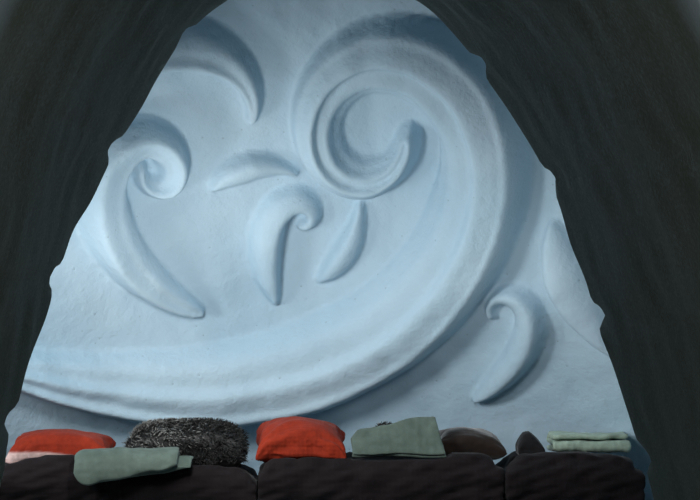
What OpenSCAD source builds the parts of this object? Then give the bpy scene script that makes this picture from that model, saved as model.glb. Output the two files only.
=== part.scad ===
// Snow block igloo with an arched entrance tunnel, a carved back wall and a snow bench with cushions.
// Millimetres, +Z up, floor at z = 0. The entrance faces -Y and the carved wall is at +Y.

/* [Dome] */
// Radius of the room at the floor
room_radius = 2200; // [1800:10:2800]
// Height of the room under the top block
room_height = 2900; // [2500:10:3400]
// Thickness of the snow wall at the floor
wall_base = 300; // [220:5:400]
// Thickness of the snow wall at the top
wall_top = 220; // [160:5:300]
// Number of block courses under the top block
courses = 8; // [6:1:10]
// Length along the wall of one snow block
block_length = 720; // [500:10:1000]
// Radius of the top block, measured along the curve
top_block_reach = 340; // [260:5:450]
// Radius of the air hole through the top block
vent_radius = 50; // [30:1:80]

/* [Entrance] */
// Half of the width of the entrance at the floor
arch_half_width = 870; // [700:5:1000]
// Height of the entrance under its key block
arch_height = 2100; // [1700:5:2250]
// Thickness of the entrance vault
vault_wall = 280; // [200:5:320]
// How far the tunnel reaches out past the dome's foot
porch_reach = 1200; // [900:10:1800]
// Number of arch rings in the porch
porch_rings = 3; // [3:1:3]
// Length along the curve of one arch block
arch_block = 316; // [260:2:400]
// Half of the width of the key block
key_half = 113; // [80:1:150]
// How far the key block of the long ring sits to the right of the middle
key_shift = 42; // [-80:1:80]

/* [Joints] */
// Width left open in each joint between blocks
joint_gap = 0.5; // [0.3:0.1:0.8]
// Depth of the grooves along the joints outside
groove = 22; // [10:1:35]
// Depth of the notches along the joints inside the tunnel
notch = 28; // [10:1:35]

/* [Bench] */
// Height of the snow bench
bench_height = 445; // [300:5:500]
// Depth of the bench, from its front to the foot of the wall
bench_depth = 1100; // [900:10:1300]
// Width of the sloped edge along the bench's front
bench_nose = 40; // [20:1:60]
// Thickness of the pads
pad_height = 200; // [120:5:240]
// Depth of the pads, front to back
pad_depth = 440; // [380:5:500]
// How far the pads lie back from the bench's front
pad_inset = 20; // [10:1:60]
// Thickness of the folded blankets
blanket_thick = 50; // [30:1:60]
// How far the left blanket hangs down over the pad's front
blanket_drop = 82; // [40:1:140]

/* [Carving] */
// How far the carving stands out of the wall
carving_height = 200; // [80:5:260]
// Gap between the carving and the wall
seat_gap = 0.3; // [0.2:0.1:0.5]

/* [Hidden] */
round_steps = 256;
// Straight steps along the curve of one block
steps = 3;
outer_radius = room_radius + wall_base;
outer_height = room_height + wall_top;
dome_y = porch_reach / 2;
front_y = -outer_radius - porch_reach;
// The porch rings end where the dome's foot begins
throat_y = -outer_radius + 100;
ring_depth = (throat_y - front_y) / porch_rings;
bench_front = room_radius - bench_depth;
pad_front = bench_front + pad_inset;
pad_back = pad_front + pad_depth;
pad_top = bench_height + pad_height;
snow = [0.86, 0.92, 0.95];
snow_shade = [0.74, 0.83, 0.88];
red = [0.72, 0.22, 0.12];
dark = [0.13, 0.11, 0.12];
grey = [0.42, 0.50, 0.47];
brown = [0.16, 0.13, 0.11];

// The curve of a hanging chain, turned over: each block leans only on the one below it
function cosh(x) = (exp(x) + exp(-x)) / 2;
function sinh(x) = (exp(x) - exp(-x)) / 2;
function asinh(x) = ln(x + sqrt(x * x + 1));
function rise(b, half) = b * (cosh(half / b) - 1);
function chain(half, high, lo = 60, hi = 20000, n = 60) =
  let (mid = (lo + hi) / 2)
  n == 0 ? mid
    : rise(mid, half) > high ? chain(half, high, mid, hi, n - 1) : chain(half, high, lo, mid, n - 1);
// A point at the length s along the curve from its top
function curve_point(b, high, s) = [b * asinh(s / b), high + b - sqrt(b * b + s * s)];
function between(p, q, t) = p + (q - p) * t;

// Dome: u runs from 0 at the floor to 1 at the top, on both faces of the wall
inner_b = chain(room_radius, room_height);
outer_b = chain(outer_radius, outer_height);
inner_arc = inner_b * sinh(room_radius / inner_b);
outer_arc = outer_b * sinh(outer_radius / outer_b);
top_u = 1 - top_block_reach / inner_arc;
function row(k) = top_u * k / courses;
function inner_point(u) = curve_point(inner_b, room_height, inner_arc * (1 - u));
function outer_point(u) = curve_point(outer_b, outer_height, outer_arc * (1 - u));
function bed_point(u, back) = let (a = inner_point(u), b = outer_point(u)) between(b, a, back / norm(b - a));

// The section of one course: inner face, upper bed, outer face, lower bed
function course_section(k) =
  let (slit = joint_gap / 2 / inner_arc)
  let (u0 = k == 0 ? 0 : row(k) + slit)
  let (u1 = row(k + 1) - slit)
  let (cut = groove / outer_arc)
  let (o0 = k == 0 ? 0 : u0 + cut)
  concat(
    [for (i = [0:steps]) inner_point(u0 + (u1 - u0) * i / steps)],
    [bed_point(u1, groove)],
    [for (i = [0:steps]) outer_point(u1 - cut + (o0 - u1 + cut) * i / steps)],
    k == 0 ? [] : [bed_point(u0, groove)]
  );
function blocks_in(k) = 2 * round(PI * inner_point((row(k) + row(k + 1)) / 2)[0] / block_length);
// Every other course is turned by half a block, so that no joints line up
function first_angle(k) = 270 + (k % 2 == 0 ? 0 : 180 / blocks_in(k));

// The room's surface as heights and radii, for what is cut or seated there
room_outline = [for (k = [0:courses - 1], i = [0:steps - 1]) inner_point(between(row(k), row(k + 1), i / steps))];
top_outline = [for (i = [0:steps]) inner_point(between(top_u, 1, i / steps))];
wall_table = [for (p = concat(room_outline, top_outline)) [p[1], p[0]]];
function room_at(z) = lookup(z, wall_table);

// Arch: s is the length along the inner curve from the crown, negative on the left
arch_b = chain(arch_half_width, arch_height);
vault_b = chain(arch_half_width + vault_wall, arch_height + vault_wall);
arch_arc = arch_b * sinh(arch_half_width / arch_b);
vault_arc = vault_b * sinh((arch_half_width + vault_wall) / vault_b);
function mirrored(p, s) = [s < 0 ? -p[0] : p[0], p[1]];
function arch_point(s) = mirrored(curve_point(arch_b, arch_height, abs(s)), s);
function vault_point(s) =
  mirrored(curve_point(vault_b, arch_height + vault_wall, abs(s) * vault_arc / arch_arc), s);
function radial(s, t) = let (a = arch_point(s), b = vault_point(s)) between(a, b, t / norm(b - a));
// Joints on one side, from the key block down to the floor
function side_joints(first) =
  let (n = floor((arch_arc - first) / arch_block - 0.6))
  concat([for (i = [0:n]) first + i * arch_block], [arch_arc]);
// Where the outer face of a block has its corners, past the grooves at its two joints
function face_end(s, way) = abs(s) >= arch_arc ? s : s + way * (joint_gap / 2 + groove);
function outer_face(s0, s1) =
  [for (i = [0:steps]) vault_point(between(face_end(s0, 1), face_end(s1, -1), i / steps))];
function left_joints(shift) = side_joints(key_half - shift);
function all_joints(shift) =
  let (left = left_joints(shift))
  concat([for (i = [len(left) - 1:-1:0]) -left[i]], side_joints(key_half + shift));

module dome_place() {
  translate([0, dome_y, 0])
    children();
}

module revolved_room(shrink, low, high) {
  rotate_extrude($fn = round_steps)
    intersection() {
      polygon(concat([[0, room_height - shrink]], [[0, 0]],
        [for (p = concat(room_outline, [top_outline[0], top_outline[1], top_outline[2]]))
          [p[0] - shrink, p[1]]]));
      translate([0, low])
        square([room_radius, high - low]);
    }
}

module vault_prism(grow, y0, y1) {
  joints = all_joints(key_shift);
  outline = [for (j = [0:len(joints) - 2], p = outer_face(joints[j], joints[j + 1])) p];
  wide = (arch_half_width + vault_wall + grow) / (arch_half_width + vault_wall);
  translate([0, y1, 0])
    rotate([90, 0, 0])
      linear_extrude(height = y1 - y0)
        polygon(concat([for (p = outline) p * wide], [[outline[0][0] * -wide, -10], [outline[0][0] * wide, -10]]));
}

// One upright groove: square bars turned on edge, along the outer face of a course
module upright_groove(k, angle) {
  side = groove * 3;
  for (i = [0:steps - 1]) {
    p = outer_point(between(row(k), row(k + 1), i / steps));
    q = outer_point(between(row(k), row(k + 1), (i + 1) / steps));
    lean = atan2(p[0] - q[0], q[1] - p[1]);
    mid = (p + q) / 2;
    rotate([0, 0, angle])
      translate([mid[0], 0, mid[1]])
        rotate([0, -lean, 0])
          translate([side / sqrt(2) - groove, 0, 0])
            rotate([0, 0, 45])
              cube([side, side, norm(q - p) + groove], center = true);
  }
}

module course(k, odd) {
  n = blocks_in(k);
  each_angle = 360 / n;
  slit = joint_gap / inner_point(row(k + 1))[0] * 180 / PI;
  color(odd ? snow : snow_shade)
    dome_place()
      difference() {
        for (j = [odd:2:n - 1])
          rotate_extrude(angle = each_angle - slit, start = first_angle(k) + j * each_angle + slit / 2,
            $fn = round_steps)
            polygon(course_section(k));
        for (j = [0:n - 1])
          upright_groove(k, first_angle(k) + j * each_angle);
        vault_prism(joint_gap, front_y, 0);
      }
}

module top_block() {
  slit = joint_gap / 2 / inner_arc;
  u0 = top_u + slit;
  function to_vent(b) = 1 - b * sinh(vent_radius / b) / (b == inner_b ? inner_arc : outer_arc);
  function face(u_end, i) = between(u0, u_end, i / (2 * steps));
  color(snow)
    dome_place()
      difference() {
        rotate_extrude($fn = round_steps)
          polygon(concat(
            [for (i = [0:2 * steps]) inner_point(face(to_vent(inner_b), i))],
            [for (i = [2 * steps:-1:1]) outer_point(face(to_vent(outer_b), i))],
            [outer_point(u0 + groove / outer_arc), bed_point(u0, groove)]
          ));
        vault_prism(joint_gap, front_y, 0);
      }
}

// One arch block, with notched inner corners and grooved outer ones
module arch_block_section(s0, s1) {
  a = s0 + joint_gap / 2;
  b = s1 - joint_gap / 2;
  low_a = abs(s0) >= arch_arc;
  low_b = abs(s1) >= arch_arc;
  in_a = low_a ? s0 : a + notch;
  in_b = low_b ? s1 : b - notch;
  face = outer_face(s0, s1);
  thick = norm(vault_point(b) - arch_point(b));
  polygon(concat(
    [for (i = [0:steps]) arch_point(between(in_a, in_b, i / steps))],
    low_b ? [] : [radial(b, notch), radial(b, thick - groove)],
    [for (i = [steps:-1:0]) face[i]],
    low_a ? [] : [radial(a, norm(vault_point(a) - arch_point(a)) - groove), radial(a, notch)]
  ));
}

module arch_ring(shift, y0, y1, odd) {
  joints = all_joints(shift);
  middle = len(left_joints(shift)) - 1;
  translate([0, y1, 0])
    rotate([90, 0, 0])
      for (j = [0:len(joints) - 2])
        if (abs(j - middle) % 2 == odd)
          linear_extrude(height = y1 - y0)
            arch_block_section(joints[j], joints[j + 1]);
}

// Every other ring is shifted by half a block, so that no joints line up
module porch_arch(ring, odd) {
  near = front_y + (ring - 1) * ring_depth;
  color(odd ? snow : snow_shade)
    dome_place()
      arch_ring(ring % 2 == 0 ? arch_block / 2 : 0, near, near + ring_depth - joint_gap, odd);
}

// The long ring through the dome's wall, cut flush with the room. It starts deep enough inside
// for its highest part to meet the room's surface
module inner_arch(odd) {
  deep_y = -0.7 * room_at(arch_height + vault_wall);
  color(odd ? snow : snow_shade)
    dome_place()
      difference() {
        arch_ring(key_shift, throat_y, deep_y, odd);
        revolved_room(0, -20, room_height);
      }
}

module snow_bench() {
  side = bench_nose * sqrt(2);
  color(snow_shade)
    dome_place()
      difference() {
        revolved_room(joint_gap, 0, bench_height);
        translate([-room_radius, -room_radius, -1])
          cube([2 * room_radius, room_radius + bench_front, bench_height + 2]);
        translate([0, bench_front, bench_height])
          rotate([45, 0, 0])
            cube([2 * room_radius, side, side], center = true);
      }
}

// A point at the place x, z of the carved wall, standing out by a height
function on_wall(x, z, out) =
  let (r = room_at(z))
  let (y = sqrt(r * r - x * x))
  let (slope = (room_at(z + 5) - room_at(z - 5)) / 10)
  let (normal = [x / r, y / r, -slope] / norm([1, slope]))
  [x, y, z] - normal * (out + seat_gap);
// A scroll winds up as it goes: each step turns a little more than the last
function scroll_path(at, heading, long, turn, wind, n) =
  [for (i = 0, a = heading, x = at[0], z = at[1]; i <= n;
    a = a + (turn + wind * pow(i / n, 3)) / n, x = x + long / n * cos(a), z = z + long / n * sin(a), i = i + 1)
    [x, z, a]];
// Distances and heights across a carved band whose ridge lies nearer to one edge
function band_section(wide, high, ridge) =
  [for (t = [-1, -0.86, -0.5, 0, 0.5, 0.86, 1])
    [wide * (ridge + t * (1 - ridge * sign(t))), high * sqrt(max(0, 1 - t * t))]];

// Places, length and width are shares of the room's height, so that the carving keeps to its field
module scroll(at, heading, long, turn, wind, wide, high, ridge, n = 36) {
  path = scroll_path(at * room_height, heading, long * room_height, turn, wind, n);
  rings = [for (i = [0:n])
    let (swell = 0.25 + 0.75 * sin(180 * pow(i / n, 0.8)))
    let (p = path[i])
    concat(
      [for (c = band_section(wide * room_height * swell, high * (0.35 + 0.65 * swell), ridge))
        on_wall(p[0] - c[0] * sin(p[2]), p[1] + c[0] * cos(p[2]), c[1])],
      [on_wall(p[0], p[1], 0)]
    )];
  m = len(rings[0]);
  faces = concat(
    [for (i = [0:n - 1], j = [0:m - 1]) [i * m + j, (i + 1) * m + j, i * m + (j + 1) % m]],
    [for (i = [0:n - 1], j = [0:m - 1])
      [(i + 1) * m + j, (i + 1) * m + (j + 1) % m, i * m + (j + 1) % m]],
    [for (j = [0:m - 3]) [m - 1, j, j + 1]],
    [for (j = [0:m - 3]) [n * m + m - 1, n * m + j + 1, n * m + j]]
  );
  color(snow)
    dome_place()
      polyhedron([for (ring = rings, p = ring) p], faces);
}

module scroll_wave() {
  scroll([-0.431, 0.350], -20, 1.345, 105, 1450, 0.068, carving_height, -0.45, 64);
}
module scroll_left() {
  scroll([-0.150, 0.412], 158, 0.440, -110, -1350, 0.036, carving_height * 0.75, 0.4);
}
module scroll_top() {
  scroll([-0.275, 0.712], 44, 0.270, -95, -230, 0.033, carving_height * 0.65, -0.4);
}
module curl_left() {
  scroll([-0.045, 0.424], 112, 0.220, -60, -1000, 0.024, carving_height * 0.5, -0.4, 24);
}
module curl_right() {
  scroll([0.235, 0.290], 38, 0.220, 50, 850, 0.022, carving_height * 0.5, -0.4, 24);
}
// Single leaves between the scrolls
module scroll_leaves() {
  scroll([0.016, 0.452], 34, 0.120, 55, 0, 0.019, carving_height * 0.4, 0.3, 16);
  scroll([-0.128, 0.575], 45, 0.120, -70, 0, 0.018, carving_height * 0.4, 0.3, 16);
  scroll([0.322, 0.525], -78, 0.190, 30, 0, 0.027, carving_height * 0.45, -0.3, 16);
}

// Soft parts lie along the bench at shares of its half length, from -1 at the left wall to 1 at the right
wall_gap = 6;
bench_half = sqrt(pow(room_at(pad_top), 2) - pow(pad_back, 2)) - wall_gap;
function along(t) = t * bench_half;
function softened(x, e) = sign(x) * pow(abs(x), e);

// A closed plain solid at the size and place of a filled cushion
module cushion(t0, t1, set_back, deep, high, seat = pad_top, turn = 0) {
  n = 16;
  m = 8;
  size = [along(t1) - along(t0), deep, high];
  points = concat(
    [[0, 0, -size[2] / 2]],
    [for (i = [1:m - 1], j = [0:n - 1])
      let (lat = -90 + 180 * i / m, lon = 360 * (j + 0.5) / n)
      [size[0] / 2 * softened(cos(lon), 0.45) * softened(cos(lat), 0.6),
        size[1] / 2 * softened(sin(lon), 0.45) * softened(cos(lat), 0.6),
        size[2] / 2 * softened(sin(lat), 0.8)]],
    [[0, 0, size[2] / 2]]
  );
  last = len(points) - 1;
  faces = concat(
    [for (j = [0:n - 1]) [0, 1 + j, 1 + (j + 1) % n]],
    [for (i = [0:m - 3], j = [0:n - 1]) [1 + i * n + j, 1 + (i + 1) * n + j, 1 + i * n + (j + 1) % n]],
    [for (i = [0:m - 3], j = [0:n - 1])
      [1 + (i + 1) * n + j, 1 + (i + 1) * n + (j + 1) % n, 1 + i * n + (j + 1) % n]],
    [for (j = [0:n - 1]) [last, last - n + (j + 1) % n, last - n + j]]
  );
  dome_place()
    translate([along((t0 + t1) / 2), pad_front + set_back + deep / 2, seat + seat_gap + high / 2])
      rotate([0, 0, turn])
        polyhedron(points, faces);
}

// A box's outline with rounded corners, each corner wide and high
function rounded(a0, a1, b0, b1, wide, high) =
  [for (c = [[a1 - wide, b1 - high, 0], [a0 + wide, b1 - high, 90],
      [a0 + wide, b0 + high, 180], [a1 - wide, b0 + high, 270]], i = [0:6])
    let (a = c[2] + 15 * i)
    [c[0] + wide * cos(a), c[1] + high * sin(a)]];

// A side view, from front to back, drawn out along the bench
module drawn_out(t0, t1, outline) {
  dome_place()
    translate([along(t0), 0, 0])
      rotate([90, 0, 90])
        linear_extrude(height = along(t1) - along(t0))
          polygon(outline);
}

pad_slit = 4;
pad_round = 60;
pad_end = 90;
second_drop = 30;
pad_places = [-1, -0.557, -0.152, 0.579, 1];
module pad(i, drop = 0) {
  left = along(pad_places[i]) + pad_slit / 2;
  right = along(pad_places[i + 1]) - pad_slit / 2;
  z0 = bench_height + seat_gap;
  z1 = pad_top - drop;
  color(dark)
    intersection() {
      drawn_out(pad_places[i], pad_places[i + 1], rounded(pad_front, pad_back, z0, z1, pad_round, pad_round));
      dome_place()
        translate([0, pad_back + 1, 0])
          rotate([90, 0, 0])
            linear_extrude(height = pad_depth + 2)
              polygon(rounded(left, right, z0, z1, pad_end, pad_round));
    }
}
module pad_left() {
  pad(0);
  pad(1, second_drop);
}
module pad_middle() {
  pad(2);
}
module pad_right() {
  pad(3);
}

module cushion_red_left() {
  color(red)
    cushion(-0.919, -0.576, 105, 300, 92);
}
module cushion_red_middle() {
  color(red)
    cushion(-0.165, 0.122, 75, 350, 136, turn = 3);
}
module cushion_fur() {
  color(brown)
    cushion(-0.561, -0.176, 90, 345, 155, pad_top - second_drop, -3);
}
module cushion_brown() {
  color(brown)
    cushion(0.381, 0.612, 155, 270, 102);
}
// Lies on a pad and hangs down over its front
module blanket_left() {
  lap = pad_top + seat_gap;
  low = pad_top - blanket_drop;
  back = pad_front + pad_round + 22;
  hang = pad_front - seat_gap;
  color(grey)
    drawn_out(-0.689, -0.338, [
      [hang, low], [hang, lap], [back, lap], [back, lap + blanket_thick * 0.7],
      [hang, lap + blanket_thick], [hang - blanket_thick * 0.7, lap + blanket_thick * 0.4],
      [hang - blanket_thick, low + blanket_thick * 0.6], [hang - blanket_thick * 0.6, low]
    ]);
}
// Folded flat and leaning back
module blanket_middle() {
  foot = pad_front + pad_round + 2;
  lap = pad_top + seat_gap;
  lean = 62;
  rise = 138;
  color(grey)
    drawn_out(0.127, 0.408, [
      [foot, lap], [foot + blanket_thick * 1.1, lap],
      [foot + blanket_thick * 0.9 + rise / tan(lean) * 0.9, lap + rise * 0.88],
      [foot + rise / tan(lean), lap + rise]
    ]);
}
module blanket_right() {
  color(grey)
    drawn_out(0.735, 0.99,
      rounded(pad_back - 220, pad_back - 50, pad_top + seat_gap, pad_top + blanket_thick * 1.5, 12, 20));
}
module fur_throw() {
  color(brown)
    cushion(0.189, 0.28, 225, 110, 121);
}
module dark_pouch() {
  color(dark)
    cushion(0.629, 0.72, 170, 120, 90);
}

course(0, 1);  // course_1_odd
course(0, 0);  // course_1_even
course(1, 1);  // course_2_odd
course(1, 0);  // course_2_even
course(2, 1);  // course_3_odd
course(2, 0);  // course_3_even
course(3, 1);  // course_4_odd
course(3, 0);  // course_4_even
course(4, 1);  // course_5_odd
course(4, 0);  // course_5_even
course(5, 1);  // course_6_odd
course(5, 0);  // course_6_even
course(6, 1);  // course_7_odd
course(6, 0);  // course_7_even
course(7, 1);  // course_8_odd
course(7, 0);  // course_8_even
top_block();
porch_arch(1, 1);  // porch_arch_1_odd
porch_arch(1, 0);  // porch_arch_1_even
porch_arch(2, 1);  // porch_arch_2_odd
porch_arch(2, 0);  // porch_arch_2_even
porch_arch(3, 1);  // porch_arch_3_odd
porch_arch(3, 0);  // porch_arch_3_even
inner_arch(1);  // inner_arch_odd
inner_arch(0);  // inner_arch_even
snow_bench();
scroll_wave();
scroll_left();
scroll_top();
curl_left();
curl_right();
scroll_leaves();
pad_left();
pad_middle();
pad_right();
cushion_red_left();
cushion_red_middle();
cushion_fur();
cushion_brown();
blanket_left();
blanket_middle();
blanket_right();
fur_throw();
dark_pouch();
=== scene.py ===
import math
from collections import namedtuple

import bpy
import numpy as np
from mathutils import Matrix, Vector


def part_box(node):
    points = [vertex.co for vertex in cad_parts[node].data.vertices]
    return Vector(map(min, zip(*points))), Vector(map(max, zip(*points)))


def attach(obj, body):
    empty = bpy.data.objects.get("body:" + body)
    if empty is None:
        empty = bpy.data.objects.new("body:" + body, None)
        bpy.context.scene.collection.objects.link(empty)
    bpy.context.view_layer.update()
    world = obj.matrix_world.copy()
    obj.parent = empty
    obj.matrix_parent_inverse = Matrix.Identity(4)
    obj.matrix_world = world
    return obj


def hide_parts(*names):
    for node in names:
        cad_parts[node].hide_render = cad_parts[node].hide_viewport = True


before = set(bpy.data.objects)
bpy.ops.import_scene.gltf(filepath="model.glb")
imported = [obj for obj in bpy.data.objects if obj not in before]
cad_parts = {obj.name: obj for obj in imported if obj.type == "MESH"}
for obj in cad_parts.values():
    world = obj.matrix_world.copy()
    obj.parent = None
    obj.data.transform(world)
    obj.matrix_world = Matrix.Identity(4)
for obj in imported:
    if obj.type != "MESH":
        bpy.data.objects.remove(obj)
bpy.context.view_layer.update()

bl_info = {
    "name": "Snow igloo",
    "version": (1, 0, 0),
    "blender": (4, 5, 0),
    "location": "View3D > Sidebar > Igloo",
    "description": "Builds a snow block igloo with a carved wall and a furnished snow bench",
    "category": "Add Mesh",
}

BODY = "root"

# Sizes of the room and the entrance in metres, as the CAD has them
ROOM_RADIUS, ROOM_HEIGHT = 2.2, 2.9
OUTER_RADIUS, OUTER_HEIGHT = 2.5, 3.12
ARCH_HALF, ARCH_HEIGHT = 0.87, 2.1
VAULT_HALF, VAULT_HEIGHT = 1.15, 2.38
DOME_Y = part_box("course_1_odd")[1][1] - OUTER_RADIUS
PORCH_FRONT = DOME_Y - 3.7
# Joints of the arch blocks next to the room, as lengths along the arch from its top
ARCH_JOINTS = [-0.071 - 0.316 * k for k in range(7)] + [0.155 + 0.316 * k for k in range(7)]
PAD_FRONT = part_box("pad_middle")[0][1]
PAD_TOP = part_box("pad_middle")[1][2]


# Colours and sizes that a user would change

def tone(hex_colour):
    """An sRGB hex value as the linear colour that a shader takes."""
    parts = [int(hex_colour[i:i + 2], 16) / 255 for i in (1, 3, 5)]
    linear = [c / 12.92 if c <= 0.04045 else ((c + 0.055) / 1.055) ** 2.4 for c in parts]
    return (*linear, 1.0)


def colour_property(name, description, hex_colour):
    return bpy.props.FloatVectorProperty(name=name, description=description, subtype="COLOR", size=4,
                                         min=0.0, max=1.0, default=tone(hex_colour))


def length_property(name, description, default, low, high):
    return bpy.props.FloatProperty(name=name, description=description, subtype="DISTANCE", unit="LENGTH",
                                   default=default, min=low, max=high)


class IglooColours(bpy.types.PropertyGroup):
    block_snow: colour_property("Block snow", "Snow of the dome's and the tunnel's blocks", "#E6EEF3")
    # Painted shade: this grey stands for the shade inside the tunnel
    glazed_snow: colour_property("Glazed snow", "Snow inside the tunnel, iced over and grey", "#6E7465")
    carved_snow: colour_property("Carved snow", "Smoothed snow of the room and its carving", "#BCD4E2")
    bench_snow: colour_property("Bench snow", "Trodden snow of the bench", "#B9CBD3")
    red_cotton: colour_property("Red cotton", "Covers of the red cushions", "#9E3017")
    # Painted highlight: a pale rose for the satin shine on the left red cushion's flank
    rose_cotton: colour_property("Rose cotton", "Pale side of the left red cushion", "#E9C9C4")
    pad_twill: colour_property("Pad twill", "Covers of the bench pads", "#1A1214")
    grey_wool: colour_property("Grey wool", "The two grey blankets", "#65756C")
    # Painted light: the right blanket's wool is paler than the grey to make up for the dimmer light at the
    # bench's right end
    pale_wool: colour_property("Pale wool", "The pale blanket at the right", "#BDD2BE")
    pouch_cloth: colour_property("Pouch cloth", "The small pouch", "#232224")
    fur: colour_property("Fur", "Body of the long fur", "#201F1D")
    # Painted highlight: the pale tips stand for the shine on the fur at its upper left
    fur_tip: colour_property("Fur tips", "Pale tips of the long fur", "#D2D2CD")
    plush: colour_property("Plush", "The brown cushion", "#2C211B")


class IglooSizes(bpy.types.PropertyGroup):
    dome_grain: length_property("Dome grain", "Mesh size of the dome's blocks", 0.024, 0.012, 0.08)
    porch_grain: length_property("Porch grain", "Mesh size of the porch's blocks", 0.0225, 0.01, 0.06)
    tunnel_grain: length_property("Tunnel grain", "Mesh size of the tunnel's long ring", 0.016, 0.01, 0.06)
    carving_grain: length_property("Carving grain", "Mesh size of the carved wall", 0.0096, 0.006, 0.03)
    lining: length_property("Lining", "Thickness of the smoothed snow inside the room", 0.020, 0.01, 0.05)


def sizes():
    return bpy.context.scene.igloo_sizes


def colours():
    return bpy.context.scene.igloo_colours


# Materials

NOISE, CELLS, WAVES = "ShaderNodeTexNoise", "ShaderNodeTexVoronoi", "ShaderNodeTexWave"
RAMP, MIX, MATH, BUMP = "ShaderNodeValToRGB", "ShaderNodeMix", "ShaderNodeMath", "ShaderNodeBump"
POINT_VALUE = "ShaderNodeAttribute"
TIMES = {"data_type": "RGBA", "blend_type": "MULTIPLY"}
COVER = {"data_type": "RGBA", "blend_type": "MIX"}


def put(tree, kind, settings=None, out=0, **inputs):
    """Adds a node, or takes one that is there, with its settings, and gives back one of its outputs.
    An input is named by its label, or by its number after a low line, and a socket given to it is linked."""
    node = kind if isinstance(kind, bpy.types.Node) else tree.nodes.new(kind)
    for key, value in (settings or {}).items():
        if key != "stops":
            setattr(node, key, value)
            continue
        elements = node.color_ramp.elements
        elements.remove(elements[1])
        elements[0].position, elements[0].color = value[0]
        for position, colour in value[1:]:
            elements.new(position).color = colour
    for key, value in inputs.items():
        socket = node.inputs[int(key[1:]) if key[0] == "_" else key.replace("_", " ")]
        if isinstance(value, bpy.types.NodeSocket):
            tree.links.new(value, socket)
        else:
            socket.default_value = value
    return node.outputs[out] if node.outputs else node


def new_material(name):
    """An empty material with its shader and the object coordinates."""
    material = bpy.data.materials.new(name)
    material.use_nodes = True
    tree = material.node_tree
    place = put(tree, "ShaderNodeTexCoord", None, "Object")
    return material, tree, tree.nodes["Principled BSDF"], place


def grey(level):
    return (level, level, level, 1.0)


def per_metre(size_mm):
    """How often a pattern of this real size fits into a metre."""
    return 1000.0 / size_mm


def snow(name, colour, pit_mm, beds=0.0, glaze=None, lump=0.4):
    """Snow: tone that drifts slowly, small pits with painted shade in their middles, rounded grains, and
    beds where sawing opened them.
    An optional grey colour paints shade over the part of the tunnel whose points say that it lies in shade."""
    material, tree, shader, place = new_material(name)
    drift = put(tree, NOISE, Vector=place, Scale=per_metre(600), Detail=4.0)
    drift = put(tree, RAMP, {"stops": [(0.34, (0.80, 0.86, 0.89, 1.0)), (0.68, grey(1.0))]}, Fac=drift)
    block = put(tree, POINT_VALUE, {"attribute_name": "shade"}, "Fac")
    block = put(tree, RAMP, {"stops": [(0.0, grey(1.0)), (1.0, (0.87, 0.91, 0.94, 1.0))]}, Fac=block)
    pits = put(tree, CELLS, None, "Distance", Vector=place, Scale=per_metre(pit_mm))
    # Painted shade: each pit is darker in its middle, where its hollow lies
    pit_shade = put(tree, RAMP, {"stops": [(0.03, grey(0.70)), (0.07, grey(1.0))]}, Fac=pits)
    shade = put(tree, MIX, TIMES, 2, _0=1.0, _6=tuple(colour), _7=drift)
    shade = put(tree, MIX, TIMES, 2, _0=1.0, _6=shade, _7=block)
    shade = put(tree, MIX, TIMES, 2, _0=0.8, _6=shade, _7=pit_shade)
    # Painted shade: a grey colour covers the part of the tunnel that lies in shade
    if glaze:
        shade_inwards = put(tree, POINT_VALUE, {"attribute_name": "glaze"}, "Fac")
        shade = put(tree, MIX, COVER, 2, _0=shade_inwards, _6=shade, _7=tuple(glaze))
    grain = put(tree, NOISE, Vector=place, Scale=per_metre(6), Detail=1.0)
    lumps = put(tree, NOISE, Vector=place, Scale=per_metre(60), Detail=4.0, Roughness=0.6)
    hollow = put(tree, RAMP, {"stops": [(0.0, grey(0.0)), (0.13, grey(1.0))]}, Fac=pits)
    relief = put(tree, BUMP, Height=lumps, Strength=lump, Distance=0.02)
    if beds:
        bands = put(tree, WAVES, {"bands_direction": "Z"}, Vector=place, Scale=0.9, Distortion=6.0,
                    Detail=2.0, Detail_Scale=1.6)
        relief = put(tree, BUMP, Height=bands, Strength=beds, Distance=0.012, Normal=relief)
    relief = put(tree, BUMP, Height=hollow, Strength=0.3, Distance=0.004, Normal=relief)
    relief = put(tree, BUMP, Height=grain, Strength=0.25, Distance=0.0025, Normal=relief)
    rough = put(tree, RAMP, {"stops": [(0.35, grey(0.55)), (0.6, grey(0.85))]}, Fac=grain)
    put(tree, shader, Base_Color=shade, Roughness=rough, Normal=relief, IOR=1.31)
    return material


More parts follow.
